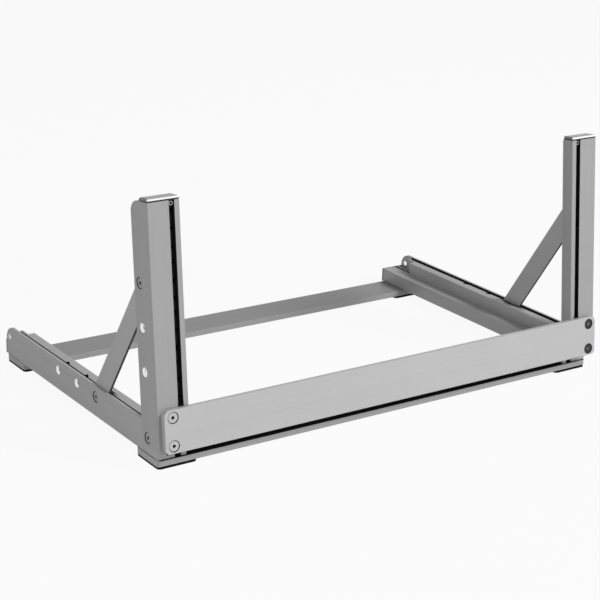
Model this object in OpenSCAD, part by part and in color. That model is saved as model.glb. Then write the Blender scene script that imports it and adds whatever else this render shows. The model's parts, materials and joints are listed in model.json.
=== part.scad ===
// Desktop rack stand: two leaning slotted uprights on two slotted legs, tied by a front panel,
// two crossbars and two braces. Front is -Y, up is +Z, the origin lies on the floor under the middle.

/* [Rack bay] */
// Distance between the two columns of rack holes
hole_span = 465.1; // [400:0.1:600]
// Height of one rack unit
unit_h = 44.45; // [40:0.05:50]
// Number of rack units in the bay
bay_units = 4; // [3:1:8]
// Distance of the outer rack holes of a unit from its middle hole
hole_step = 15.875; // [12:0.005:18]
// Gap between the front panel and the lowest unit
bay_gap = 1; // [0.5:0.5:6]
// Upright left above the highest unit
bay_head = 3.7; // [2:0.1:12]

/* [Uprights] */
// Lean of the uprights from the vertical, in degrees
tilt = 5.8; // [0:0.1:10]
// Outer side face to the middle of the slot
slot_from_side = 23.6; // [22:0.1:26]
// Depth of the side wing
wing_depth = 30; // [27:0.5:36]
// Depth of the slotted box
box_depth = 14; // [12.5:0.1:15.5]
// Thickness of the wings and of the slotted walls
wall_t = 3.2; // [3:0.1:3.8]
// Thickness of the inner webs
web_t = 2.6; // [2:0.1:3.2]
// Thickness of the inner side wall beside the slot
side_wall_t = 3.25; // [2.5:0.05:6]
// Radius of the free corners of the wings
wing_corner_r = 13; // [6:0.5:14]
// Distance of the hole line from the rear edge of the wing
hole_edge = 10; // [8:0.5:12]
// Distance of the pivot from the lower end
pivot_end = 10.2; // [8:0.1:14]
// Height of the brace hole in use above the pivot
brace_hole_h = 140; // [128:1:160]
// Distance from one brace hole to the next, down the upright
upright_hole_pitch = 40; // [30:1:48]
// Space left above the leg where the box is milled away
tuck_space = 4.5; // [3:0.1:7]

/* [Slots] */
// Width of the slots in the uprights
slot_w = 5.4; // [5.3:0.1:6.2]
// Width of the slots in the legs
leg_slot_w = 7; // [5.5:0.1:8]
// Width of the lips inside the slots
lip_w = 1.95; // [1.5:0.05:2.4]
// Depth of the wide part of the slots
chamber_depth = 4.6; // [4.3:0.1:5.2]

/* [Legs] */
// Height of the leg and its wing
leg_h = 30; // [28:0.5:36]
// Height of the leg's slotted box
leg_box_h = 15; // [13:0.1:16]
// Thickness of the web between the leg's slot and its hollow rib
slot_web_t = 2.15; // [1.5:0.05:4]
// Thickness of the leg's inner side wall beside the slot
leg_wall_t = 2.75; // [2:0.05:6]
// Leg in front of the pivot
leg_front = 12; // [8:0.5:12.5]
// Pivot to the rear end of the leg
leg_reach = 296.3; // [270:0.1:360]
// Height of the pivot above the underside of the leg
pivot_h = 18; // [16:0.5:20]
// Height of the brace holes above the underside of the leg
hole_h = 19.5; // [19:0.1:22]
// Distance of the brace hole in use behind the pivot
brace_hole_reach = 104; // [80:1:115]
// Distance from one brace hole to the next, along the leg
leg_hole_pitch = 39; // [30:1:48]
// Number of brace holes in each upright and leg
hole_count = 3; // [2:1:3]
// Distance of the plain rear hole from the rear end
rear_hole_edge = 7.2; // [6:0.1:12]
// Diameter of the plain rear hole
rear_hole_d = 5.5; // [4:0.1:7]
// Width of the hollow rib
rib_w = 9.6; // [8:0.1:10.5]
// Drop of the rib below the top of the wing
rib_drop = 1.4; // [0.5:0.1:3]
// Rear end of the leg to the end of the rib
rib_cut = 32; // [28:1:44]
// Rear end of the leg to the end of the rib's outer web
web_cut = 19; // [14:1:26]
// Width of the three-cornered notches in the rib
notch_w = 3.6; // [2:0.1:5]
// Length of the notches
notch_l = 7.9; // [4:0.1:10]
// Depth of the notches
notch_depth = 5; // [1:0.1:6]
// Distance of the rear end of a notch in front of its brace hole
notch_lead = 5.5; // [5:0.1:12]

/* [Braces] */
// Width of the braces
brace_w = 22; // [18:0.5:24]
// Thickness of the braces
brace_t = 3; // [2.5:0.1:3.4]
// Outer diameter of the spacer rings
spacer_d = 10; // [8:0.5:12]

/* [Front panel] */
// Height of the panel
panel_h = 40; // [36:0.5:60]
// Thickness of the panel
panel_t = 6; // [4:0.5:8]
// Distance of the panel's ends from the outer sides of the uprights
panel_inset = 3.5; // [0:0.5:5]
// Radius of the panel's corners
panel_corner_r = 5; // [2:0.5:8]
// Distance of the panel screws from the outer sides of the uprights
panel_screw_side = 12; // [10:0.1:12.4]
// Distance of the panel screws from the panel's long edges
panel_screw_edge = 7; // [6:0.5:10]

/* [Crossbars and feet] */
// Width of the crossbars
bar_w = 40; // [32:1:50]
// Thickness of the crossbars
bar_t = 6; // [4:0.5:8]
// Radius of the crossbars' corners
bar_corner_r = 4; // [1:0.5:8]
// Front crossbar in front of the leg ends
bar_lead = 2; // [0:0.5:8]
// Front crossbar past the outer faces of the legs, at each end
bar_over = 0.5; // [0:0.1:3.2]
// Distance between the two screws at each crossbar end
bar_screw_pitch = 18; // [14:0.5:22]
// Thickness of the feet
foot_t = 2.2; // [1.5:0.1:5]
// Length of the feet along the crossbars
foot_l = 40; // [28:1:60]
// Radius of the feet's corners
foot_corner_r = 3.7; // [1:0.1:8]
// Distance of the feet from the edges of the crossbars
foot_inset = 0.3; // [0:0.1:3]

/* [End caps] */
// Thickness of the end caps
cap_t = 3.4; // [3.2:0.1:6]
// Radius of the caps' upper edges
cap_edge_r = 2.2; // [0.5:0.1:2.4]
// Radius of the caps' inner corner
cap_corner_r = 3; // [2:0.5:6]
// Gap below the edges of the caps
cap_gap = 0.6; // [0.2:0.1:0.8]
// Distance of the necks in that gap from the edges of the caps
cap_neck = 1; // [0.5:0.1:1.5]
// Length of the pegs under the caps
peg_l = 6; // [3:0.5:10]

/* [Fasteners] */
// Thread diameter of the screws
thread_d = 5; // [4.5:0.1:5.2]
// Head diameter of the countersunk screws
head_d = 9.4; // [9:0.1:9.8]
// Height of the straight rim of the heads
head_rim = 0.2; // [0.1:0.05:0.3]
// Depth of the heads below the faces that they are sunk in
head_sink = 0.5; // [0.2:0.1:0.6]
// Key size of the sockets
key_af = 3; // [2.5:0.1:3.6]
// Depth of the sockets
key_depth = 1.8; // [1:0.1:2.4]
// Width of the hexagon nuts across their flats
nut_af = 8; // [7:0.1:9]
// Thickness of the hexagon nuts, the slot nuts and the nut strips
nut_t = 4; // [3:0.1:4.2]
// Length of the slot nuts
slot_nut_l = 12; // [9:0.5:13]
// Screw length that stands past the thread
screw_tip = 0.6; // [0.2:0.1:1]
// Diameter of the set screws
set_screw_d = 3.5; // [2.5:0.1:4]
// Distance of the set screws from the top of the nut strips
set_screw_edge = 3; // [2.5:0.1:4.4]
// Length of the set screws in front of the nut strips
set_screw_out = 2; // [0:0.1:3]
// Key size of the set screws
set_key_af = 1.8; // [1:0.1:2]

/* [Clearances] */
// Clearance all round a screw in a plain hole
hole_clear = 0.15; // [0.1:0.05:0.3]
// Clearance all round a screw in its thread and a head in its seat
thread_clear = 0.05; // [0.03:0.01:0.1]
// Clearance of the nuts and strips in the slots, on each side
slot_clear = 0.2; // [0.1:0.05:0.4]
// Clearance of the braces in the leg grooves
groove_clear = 0.2; // [0.1:0.05:0.4]
// Space below the braces in the leg grooves
groove_space = 1; // [0.5:0.1:2]
// Clearance of the cap pegs, on each side
peg_clear = 0.1; // [0.05:0.05:0.3]
// Radius of the long edges of the bars and extrusions
edge_r = 0.8; // [0.3:0.1:1.2]

/* [Hidden] */
$fn = 64;
// Overrun of a cut past the face that it opens
cut = 1;

// Width of the wide part of a slot; slot and box, across the front face from the outer side
function chamber(slot) = slot + 2 * lip_w;
chamber_w = chamber(slot_w);
box_from = slot_from_side - chamber_w / 2 - web_t;
face_w = slot_from_side + chamber_w / 2 + side_wall_t;

// Whole stand
width = hole_span + 2 * slot_from_side;
bay_h = bay_units * unit_h;
upright_l = panel_h + bay_gap + bay_h + bay_head;
bay_from = panel_h + bay_gap - pivot_end;
upright_top = upright_l - pivot_end;
pivot_depth = wing_depth - hole_edge;

// The legs stand inside the wings of the uprights
leg_side = wall_t;
leg_z = foot_t + bar_t;
groove_w = brace_t + groove_clear;
groove_floor = hole_h - brace_w / 2 - groove_space;
rib_from = wall_t + groove_w;
rib_top = leg_h - rib_drop;
leg_slot_side = rib_from + rib_w - web_t + slot_web_t + chamber(leg_slot_w) / 2;
leg_w = leg_slot_side + chamber(leg_slot_w) / 2 + leg_wall_t;
brace_side = leg_side + wall_t;
pocket_top = leg_h - pivot_h + tuck_space;

// Edge rounding of flat bar stock of a thickness
function soft_edge(thick) = min(edge_r, thick / 4);

// Front and rear limits measured from the pivot, then the pivot's place from the middle
panel_edge_r = soft_edge(panel_t);
front_limit = (pivot_depth + panel_t - panel_edge_r) * cos(tilt) + (pivot_end - panel_edge_r) * sin(tilt)
    + panel_edge_r;
rear_limit = leg_reach + cap_t;
pivot_y = (front_limit - rear_limit) / 2;
pivot_z = leg_z + pivot_h;

// Ends of the braces measured from the pivot, as [back, up]
brace_top = [brace_hole_h * sin(tilt), brace_hole_h * cos(tilt)];
brace_foot = [brace_hole_reach, hole_h - pivot_h];
brace_run = norm(brace_top - brace_foot);
brace_angle = atan2(brace_top[1] - brace_foot[1], brace_top[0] - brace_foot[0]);

// Hole rows
upright_holes = [for (i = [0 : hole_count - 1]) brace_hole_h - i * upright_hole_pitch];
leg_holes = [for (i = [0 : hole_count - 1]) brace_hole_reach + i * leg_hole_pitch];
rack_holes = [for (i = [0 : bay_units - 1], j = [-1 : 1]) (i + 0.5) * unit_h + j * hole_step];
panel_screw_heights = [panel_screw_edge - pivot_end, panel_h - panel_screw_edge - pivot_end];
front_bar_y = bar_w / 2 - leg_front - bar_lead;
rear_bar_y = leg_reach - bar_w / 2;
rear_bar_l = width - 2 * leg_side;
front_bar_l = rear_bar_l + 2 * bar_over;
panel_l = width - 2 * panel_inset;

// Height of a countersunk cone, and screw lengths from the materials that they pass
sink_h = (head_d - thread_d) / 2;
seat_h = head_sink + head_rim + sink_h;
upper_screw_l = brace_side + brace_t + nut_t + screw_tip;
lower_screw_l = wall_t + groove_w + web_t + screw_tip;
pivot_screw_l = leg_side + lower_screw_l;
panel_screw_l = panel_t + wall_t + screw_tip;
bar_screw_l = bar_t + wall_t + nut_t + screw_tip;

aluminium = [0.72, 0.72, 0.73];
steel = [0.80, 0.80, 0.80];
black_steel = [0.08, 0.08, 0.08];
cap_grey = [0.50, 0.50, 0.51];
rubber = [0.05, 0.05, 0.05];

// Places: a side has X running inwards from the outer face of its upright
module left_side() { translate([-width / 2, 0, 0]) children(); }
module right_side() { mirror([1, 0, 0]) left_side() children(); }
module both_sides() {
    left_side() children();
    right_side() children();
}
// The pivot axis, and the leaning frame of the uprights about it
module at_pivot() { translate([0, pivot_y, pivot_z]) children(); }
module leaning() { at_pivot() rotate([-tilt, 0, 0]) children(); }
// The underside of a leg below the pivot, with the leg's own X
module at_leg() { translate([leg_side, pivot_y, leg_z]) children(); }

// What a square corner at the origin loses to a rounding of radius r
module corner_loss(r) {
    difference() {
        translate([-cut, -cut]) square(r + cut);
        translate([r, r]) circle(r);
    }
}

// Turns a corner at the origin into the corner on side x, y of an outline
module corner_at(x, y) {
    mirror([x > 0 ? 1 : 0, 0]) mirror([0, y > 0 ? 1 : 0]) children();
}

module rounded_rect(size, r) {
    difference() {
        square(size, center = true);
        for (x = [-1, 1], y = [-1, 1])
            translate([x * size[0] / 2, y * size[1] / 2]) corner_at(x, y) corner_loss(r);
    }
}

module round_ended(length, end_d) {
    square([length - end_d, end_d], center = true);
    for (x = [-0.5, 0.5]) translate([x * (length - end_d), 0]) circle(d = end_d);
}

// Flat bar stock with soft long edges, cut to the outline given: length along X, width along Y
module flat_bar(length, bar_width, thick) {
    intersection() {
        translate([-length / 2, 0, thick / 2]) rotate([90, 0, 90]) linear_extrude(length)
            rounded_rect([bar_width, thick], soft_edge(thick));
        linear_extrude(thick) children();
    }
}

// Slot of T form in a box of a depth, which opens at y = 0 and runs along +Y
module tee_slot(slot, depth) {
    translate([-slot / 2, -cut]) square([slot, depth - web_t + cut]);
    translate([-chamber(slot) / 2, wall_t]) square([chamber(slot), chamber_depth]);
}

// Hole along +X for a countersunk screw whose head is sunk below x = 0
module sunk_hole(depth) {
    seat_d = thread_d + 2 * thread_clear;
    rotate([0, 90, 0]) translate([0, 0, -cut]) {
        cylinder(h = depth + 2 * cut, d = thread_d + 2 * hole_clear);
        cylinder(h = seat_h + cut, d1 = seat_d + 2 * (seat_h + cut), d2 = seat_d);
    }
}

module plain_hole(depth, d) {
    translate([-cut, 0, 0]) rotate([0, 90, 0]) cylinder(h = depth + 2 * cut, d = d);
}

module tapped_hole(depth) { plain_hole(depth, thread_d + 2 * thread_clear); }

// Countersunk screw along +X with its head sunk below x = 0 and its tip at the depth given
module sunk_screw(depth) {
    rotate([0, 90, 0]) translate([0, 0, head_sink]) difference() {
        union() {
            cylinder(h = depth - head_sink, d = thread_d);
            cylinder(h = head_rim, d = head_d);
            translate([0, 0, head_rim]) cylinder(h = sink_h, d1 = head_d, d2 = thread_d);
        }
        translate([0, 0, -cut]) cylinder(h = key_depth + cut, d = key_af / cos(30), $fn = 6);
    }
}

// Hexagon nut along +X with bevelled corners
module hex_nut() {
    rotate([0, 90, 0]) difference() {
        intersection() {
            cylinder(h = nut_t, d = nut_af / cos(30), $fn = 6);
            union() {
                cylinder(h = nut_t / 2, d1 = nut_af, d2 = nut_af + nut_t);
                translate([0, 0, nut_t / 2]) cylinder(h = nut_t / 2, d1 = nut_af + nut_t, d2 = nut_af);
            }
        }
        translate([0, 0, -cut]) cylinder(h = nut_t + 2 * cut, d = thread_d + 2 * thread_clear);
    }
}

// Ring along +X
module spacer_ring(length) {
    rotate([0, 90, 0]) difference() {
        cylinder(h = length, d = spacer_d);
        translate([0, 0, -cut]) cylinder(h = length + 2 * cut, d = thread_d + 2 * hole_clear);
    }
}

// Upright: section with X inwards from the outer side and Y back from the front face
module upright_profile() {
    difference() {
        union() {
            square([wall_t, wing_depth]);
            square([face_w, wall_t]);
            translate([box_from, 0]) square([face_w - box_from, box_depth]);
        }
        translate([slot_from_side, 0]) tee_slot(slot_w, box_depth);
        corner_loss(edge_r);
        translate([face_w, 0]) corner_at(1, -1) corner_loss(edge_r);
        translate([face_w, box_depth]) corner_at(1, 1) corner_loss(edge_r);
        translate([0, wing_depth]) corner_at(-1, 1) corner_loss(edge_r);
        translate([wall_t, wing_depth]) corner_at(1, 1) corner_loss(edge_r);
    }
}

// Trims one corner of a wing that lies in the YZ plane: y is the edge side, z the end side
module wing_corner(z) {
    translate([-cut, 0, 0]) rotate([90, 0, 90]) linear_extrude(wall_t + 2 * cut)
        corner_at(1, z) corner_loss(wing_corner_r);
}

module upright() {
    color(aluminium) difference() {
        translate([0, -pivot_depth, -pivot_end]) linear_extrude(upright_l) upright_profile();
        translate([0, hole_edge, upright_top]) wing_corner(1);
        translate([0, hole_edge, -pivot_end]) wing_corner(-1);
        translate([wall_t, wall_t - pivot_depth, -pivot_end - cut])
            cube([face_w, box_depth, pocket_top + pivot_end + cut]);
        for (z = concat([0], upright_holes)) translate([0, 0, z]) sunk_hole(wall_t);
        for (z = panel_screw_heights) translate([panel_screw_side, -pivot_depth, z])
            rotate([0, 0, 90]) tapped_hole(wall_t);
    }
}

// Leg: section with X inwards from its outer face and Y up from its underside
module leg_profile() {
    difference() {
        union() {
            square([wall_t, leg_h]);
            square([leg_w, leg_box_h]);
            translate([rib_from, 0]) square([rib_w, rib_top]);
        }
        translate([leg_slot_side, 0]) tee_slot(leg_slot_w, leg_box_h);
        translate([wall_t, groove_floor]) square([groove_w, leg_h]);
        translate([rib_from + web_t, wall_t]) square([rib_w - 2 * web_t, rib_top - web_t - wall_t]);
        corner_loss(edge_r);
        translate([leg_w, 0]) corner_at(1, -1) corner_loss(edge_r);
        translate([leg_w, leg_box_h]) corner_at(1, 1) corner_loss(edge_r);
        translate([0, leg_h]) corner_at(-1, 1) corner_loss(edge_r);
        translate([rib_from + rib_w, rib_top]) corner_at(1, 1) corner_loss(edge_r);
    }
}

// Three-cornered notch in the rib in front of a brace hole
module rib_notch() {
    translate([rib_from, -notch_lead, rib_top - notch_depth]) linear_extrude(notch_depth + cut)
        polygon([[-groove_w / 2, 0], [notch_w, 0], [0, -notch_l], [-groove_w / 2, -notch_l]]);
}

module leg() {
    color(aluminium) difference() {
        translate([0, leg_reach, 0]) rotate([90, 0, 0]) linear_extrude(leg_front + leg_reach) leg_profile();
        translate([0, leg_reach, leg_h]) wing_corner(1);
        translate([rib_from + web_t, leg_reach - rib_cut, leg_box_h]) cube([leg_w, rib_cut + cut, leg_h]);
        translate([wall_t, leg_reach - web_cut, leg_box_h]) cube([leg_w, web_cut + cut, leg_h]);
        for (y = leg_holes) {
            translate([0, y, hole_h]) sunk_hole(wall_t);
            translate([rib_from, y, hole_h]) tapped_hole(web_t);
            translate([0, y, 0]) rib_notch();
        }
        translate([0, 0, pivot_h]) plain_hole(wall_t, thread_d + 2 * hole_clear);
        translate([rib_from, 0, pivot_h]) tapped_hole(web_t);
        translate([0, leg_reach - rear_hole_edge, hole_h]) plain_hole(wall_t, rear_hole_d);
    }
}

// End cap: X inwards from the outer side, Y across the box, Z out of the extrusion's end
module cap_plate(size) {
    intersection() {
        linear_extrude(cap_t) difference() {
            square(size);
            translate(size) corner_at(1, 1) corner_loss(cap_corner_r);
        }
        translate([0, size[1], 0]) rotate([90, 0, 0]) linear_extrude(size[1]) cap_side(size[0]);
        rotate([90, 0, 90]) linear_extrude(size[0]) cap_side(size[1]);
    }
}

// Side view of a cap: a plate with rounded upper edges on a set-back neck
module cap_side(length) {
    difference() {
        union() {
            translate([0, cap_gap]) square([length, cap_t - cap_gap]);
            translate([cap_neck, 0]) square([length - 2 * cap_neck, cap_t]);
        }
        translate([0, cap_t]) corner_at(-1, 1) corner_loss(cap_edge_r);
        translate([length, cap_t]) corner_at(1, 1) corner_loss(cap_edge_r);
    }
}

// Peg under a cap that fits an open hollow from one corner to the other
module cap_peg(from, to) {
    translate([from[0] + peg_clear, from[1] + peg_clear, -peg_l])
        cube([to[0] - from[0] - 2 * peg_clear, to[1] - from[1] - peg_clear, peg_l + cap_t / 2]);
}

// The peg of a top cap grips between the wing and the box of the upright
module top_cap() {
    color(cap_grey) {
        cap_plate([face_w, box_depth]);
        cap_peg([wall_t, wall_t], [box_from, box_depth]);
    }
}

// The peg of a leg cap grips in the hollow below the rib
module leg_cap() {
    color(cap_grey) {
        cap_plate([leg_w, leg_box_h]);
        cap_peg([rib_from + web_t, wall_t], [rib_from + rib_w - web_t, leg_box_h - web_t]);
    }
}

module place_top_cap() {
    leaning() translate([0, -pivot_depth, upright_top]) children();
}

// The box of a leg has its slot below, so its cap is turned to face back
module place_leg_cap() {
    at_leg() translate([0, leg_reach, 0]) mirror([0, 1, -1]) children();
}

// Brace in the YZ plane, between its two screws
module brace() {
    color(aluminium) translate([brace_side, 0, 0]) difference() {
        translate([0, brace_foot[0], brace_foot[1]]) rotate([brace_angle, 0, 0])
            translate([0, brace_run / 2, 0]) rotate([90, 0, 90])
                flat_bar(brace_run + brace_w, brace_w, brace_t) round_ended(brace_run + brace_w, brace_w);
        for (p = [brace_top, brace_foot]) translate([0, p[0], p[1]])
            plain_hole(brace_t, thread_d + 2 * hole_clear);
    }
}

module front_panel() {
    color(aluminium) leaning() difference() {
        translate([0, -pivot_depth, panel_h / 2 - pivot_end]) rotate([90, 0, 0])
            flat_bar(panel_l, panel_h, panel_t) rounded_rect([panel_l, panel_h], panel_corner_r);
        both_sides() place_panel_screws() sunk_hole(panel_t);
    }
}

module place_panel_screws() {
    for (z = panel_screw_heights)
        translate([panel_screw_side, -pivot_depth - panel_t, z]) rotate([0, 0, 90]) children();
}

module crossbar(y, length) {
    color(aluminium) difference() {
        translate([0, pivot_y + y, foot_t])
            flat_bar(length, bar_w, bar_t) rounded_rect([length, bar_w], bar_corner_r);
        place_bar_screws([y]) sunk_hole(bar_t);
    }
}

// Screws of the crossbars, pointing up into the leg slots; rows are distances behind the pivot
module place_bar_screws(rows) {
    both_sides() for (y = rows, step = [-0.5, 0.5])
        translate([leg_side + leg_slot_side, pivot_y + y + step * bar_screw_pitch, foot_t])
            rotate([0, -90, 0]) children();
}

// Nut inside a leg slot, along +X
module slot_nut() {
    nut_w = chamber(leg_slot_w) - 2 * slot_clear;
    difference() {
        translate([0, -slot_nut_l / 2, -nut_w / 2]) cube([nut_t, slot_nut_l, nut_w]);
        tapped_hole(nut_t);
    }
}

// Foot under a crossbar of a length
module foot(y, length) {
    color(rubber) translate([(width - length + foot_l) / 2 + foot_inset, pivot_y + y, 0])
        linear_extrude(foot_t) rounded_rect([foot_l, bar_w - 2 * foot_inset], foot_corner_r);
}

module nut_strip() {
    color(black_steel) translate([slot_from_side, wall_t - pivot_depth, bay_from]) difference() {
        translate([slot_clear - chamber_w / 2, 0, 0])
            cube([chamber_w - 2 * slot_clear, nut_t, bay_h + bay_head]);
        for (z = rack_holes) translate([0, 0, z]) rotate([0, 0, 90]) tapped_hole(nut_t);
        translate([0, 0, bay_h + bay_head - set_screw_edge]) rotate([0, 0, 90])
            plain_hole(nut_t, set_screw_d + 2 * thread_clear);
    }
}

// Set screw that stands on the bottom of the slot and comes out of the front of the strip
module set_screw() {
    from = wall_t - set_screw_out;
    length = box_depth - web_t - from;
    color(steel) translate([slot_from_side, from - pivot_depth, upright_top - set_screw_edge])
        rotate([-90, 0, 0]) difference() {
            cylinder(h = length, d = set_screw_d);
            translate([0, 0, -cut]) cylinder(h = key_depth + cut, d = set_key_af / cos(30), $fn = 6);
        }
}

module brace_spacers() {
    color(steel) both_sides() at_pivot() translate([wall_t, brace_top[0], brace_top[1]])
        spacer_ring(brace_side - wall_t);
}

module upper_brace_screws() {
    color(steel) both_sides() leaning() translate([0, 0, brace_hole_h]) sunk_screw(upper_screw_l);
}

module upper_brace_nuts() {
    color(steel) both_sides() leaning() translate([brace_side + brace_t, 0, brace_hole_h]) hex_nut();
}

module lower_brace_screws() {
    color(steel) both_sides() at_leg() translate([0, brace_hole_reach, hole_h]) sunk_screw(lower_screw_l);
}

module pivot_screws() {
    color(steel) both_sides() at_pivot() sunk_screw(pivot_screw_l);
}

module pivot_spacers() {
    color(steel) both_sides() at_leg() translate([wall_t, 0, pivot_h]) spacer_ring(brace_t);
}

module panel_screws() {
    color(steel) leaning() both_sides() place_panel_screws() sunk_screw(panel_screw_l);
}

module crossbar_screws() {
    color(steel) place_bar_screws([front_bar_y, rear_bar_y]) sunk_screw(bar_screw_l);
}

module crossbar_nuts() {
    color(black_steel) place_bar_screws([front_bar_y, rear_bar_y]) translate([bar_t + wall_t, 0, 0]) slot_nut();
}

module nut_strip_set_screws() {
    both_sides() leaning() set_screw();
}

left_side() leaning() upright();  // left_upright
right_side() leaning() upright();  // right_upright
left_side() place_top_cap() top_cap();  // left_top_cap
right_side() place_top_cap() top_cap();  // right_top_cap
left_side() at_leg() leg();  // left_leg
right_side() at_leg() leg();  // right_leg
left_side() place_leg_cap() leg_cap();  // left_leg_cap
right_side() place_leg_cap() leg_cap();  // right_leg_cap
left_side() at_pivot() brace();  // left_brace
right_side() at_pivot() brace();  // right_brace
brace_spacers();
upper_brace_screws();
upper_brace_nuts();
lower_brace_screws();
pivot_screws();
pivot_spacers();
front_panel();
panel_screws();
crossbar(front_bar_y, front_bar_l);  // front_crossbar
crossbar(rear_bar_y, rear_bar_l);  // rear_crossbar
crossbar_screws();
crossbar_nuts();
left_side() foot(front_bar_y, front_bar_l);  // front_left_foot
right_side() foot(front_bar_y, front_bar_l);  // front_right_foot
left_side() foot(rear_bar_y, rear_bar_l);  // rear_left_foot
right_side() foot(rear_bar_y, rear_bar_l);  // rear_right_foot
left_side() leaning() nut_strip();  // left_nut_strip
right_side() leaning() nut_strip();  // right_nut_strip
nut_strip_set_screws();
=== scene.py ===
"""Looks of a desktop rack stand: finishes on its pieces, the threads of its rack holes, and its stage."""

import json
import math
from typing import NamedTuple

import bmesh
import bpy
from bpy.props import FloatProperty, FloatVectorProperty, IntProperty, PointerProperty
from mathutils import Matrix, Vector


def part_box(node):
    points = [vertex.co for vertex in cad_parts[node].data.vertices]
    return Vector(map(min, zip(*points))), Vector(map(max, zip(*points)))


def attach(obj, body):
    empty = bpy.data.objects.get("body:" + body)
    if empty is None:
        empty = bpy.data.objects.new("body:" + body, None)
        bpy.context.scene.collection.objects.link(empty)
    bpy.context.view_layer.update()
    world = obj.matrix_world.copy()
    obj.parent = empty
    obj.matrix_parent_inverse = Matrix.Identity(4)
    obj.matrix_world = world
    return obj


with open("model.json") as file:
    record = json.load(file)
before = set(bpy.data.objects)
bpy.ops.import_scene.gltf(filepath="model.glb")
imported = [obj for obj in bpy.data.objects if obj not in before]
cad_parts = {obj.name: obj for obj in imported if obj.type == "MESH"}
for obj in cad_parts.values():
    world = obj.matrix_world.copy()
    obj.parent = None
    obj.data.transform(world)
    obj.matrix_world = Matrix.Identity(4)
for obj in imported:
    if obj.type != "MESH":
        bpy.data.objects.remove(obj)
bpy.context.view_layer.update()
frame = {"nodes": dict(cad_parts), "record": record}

bl_info = {
    "name": "Rack Stand Looks",
    "version": (1, 0, 0),
    "blender": (4, 5, 0),
    "location": "View3D > Sidebar > Rack Stand",
    "description": "Finishes the pieces of a desktop rack stand and sets its stage",
    "category": "Object",
}

NODES = frame["nodes"]
MM = 0.001
SIDES = ("left", "right")
HOLES_IN_UNIT = 3


def middle_of(node):
    """Middle of a node's box."""
    low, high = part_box(node)
    return (low + high) / 2


def span_along(nodes, axis):
    """Lowest and highest place of some nodes along an axis."""
    places = [point.co.dot(axis) for node in nodes for point in NODES[node].data.vertices]
    return min(places), max(places)


def outer_screws(node, axis, radius):
    """Places of a node's two outermost screws along an axis, by the radius of their heads."""
    low, high = span_along([node], axis)
    return low + radius, high - radius


def rack_mount(name):
    """The record's mount of that name."""
    return next(m for m in frame["record"]["mounts"] if m["name"] == name)


# The leaning frame: its lowest rack hole, its pivot, up along the uprights and out of their fronts
LOW_HOLE = rack_mount("left_rack_hole_unit_1_low")
PIVOT = middle_of("pivot_screws")
LEAN = math.atan2(LOW_HOLE["axis"][2], -LOW_HOLE["axis"][1])
UP_ALONG = Vector((0, math.sin(LEAN), math.cos(LEAN)))
OUT_FRONT = Vector((0, -math.cos(LEAN), math.sin(LEAN)))
ACROSS = Vector((1, 0, 0))
BACK = Vector((0, 1, 0))
UP = Vector((0, 0, 1))

# Axes of the planes that the screws stand square to
FRONT_PLANE = (ACROSS, UP_ALONG)
SIDE_PLANE = (BACK, UP)
FLOOR_PLANE = (ACROSS, BACK)

# Cells of the fine patterns in a metre; a grain has two numbers, along it and across it
BRUSHED_CELLS = (14.0, 2600.0)
DRAWN_CELLS = (1.5, 240.0)
CLOUD_CELLS = 16.0
STAIN_CELLS = 420.0
MOTTLE_CELLS = 380.0
ERODED_CELLS = 2200.0
FLOW_CELLS = 60.0
PORE_CELLS = 1500.0
DUST_CELLS = 90.0

# Pitch and slant of the saw's marks, pitch of the countersink's and the lathe's, and width of the worn
# edges that also carry a painted highlight
SAW_PITCH = 0.6 * MM
SAW_SLANT = 0.3
SEAT_PITCH = 0.35 * MM
HEAD_PITCH = 0.28 * MM
WEAR_AND_HIGHLIGHT_EDGE = 0.7 * MM

# Height of the fine relief
METAL_RELIEF = 0.06 * MM
PLATING_RELIEF = 0.05 * MM
MOULD_RELIEF = 0.05 * MM
RUBBER_RELIEF = 0.1 * MM

# Limits on how far a surface faces along an axis: 0 is edge on and 1 is square
END_FACE = 0.9
SEAT_FACE = 0.93
HEAD_FACE = 0.8
SOCKET_WALL_FACE = 0.3
LIP_FACE = 0.4
UNDER_FACE = 0.6
TOP_FACE = 0.7

# How fast the painted highlight on the lip of a cap comes in past its limit
LIP_RISE = 3.0

# Reach of a key socket's floor and walls, as shares of half its width across the flats
SOCKET_FLOOR = 0.98
SOCKET_WALL = 1.2

# Samples of the nodes that look round a point
SHADE_SAMPLES = 16
EDGE_SAMPLES = 6

# Sockets of a Mix node that carry colours
MIX_FIRST = 6
MIX_SECOND = 7
MIX_RESULT = 2

# Margins of the places that get painted shade: past a slot's walls, past a groove's wall, at a leg's front
# end, at a crossbar's ends, and the reach of the painted shade in the gaps at a cap
SLOT_MARGIN = 0.3 * MM
GROOVE_MARGIN = 0.1 * MM
LEG_FRONT = 2 * MM
BAR_END = 1 * MM
CAP_GAP = 2 * MM

# A thread: steps in a turn, steps in which its ends fade, half the root's width as a share of the pitch,
# the crest's width as a share of the root's, and how far the root goes into the wall
THREAD_STEPS = 28
FADE_STEPS = 6
ROOT_SHARE = 0.38
CREST_SHARE = 0.2
ROOT_SINK = 0.03 * MM

# The stage: radius and sides of the floor, the point that the lights face, sensor and view range
FLOOR_R = 40.0
FLOOR_SIDES = 96
LIGHT_AIM = Vector((0, 0, 0.1))
SENSOR_MM = 36.0
VIEW_NEAR = 0.05
VIEW_FAR = 200.0
WHITE = (1.0, 1.0, 1.0, 1.0)


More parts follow.
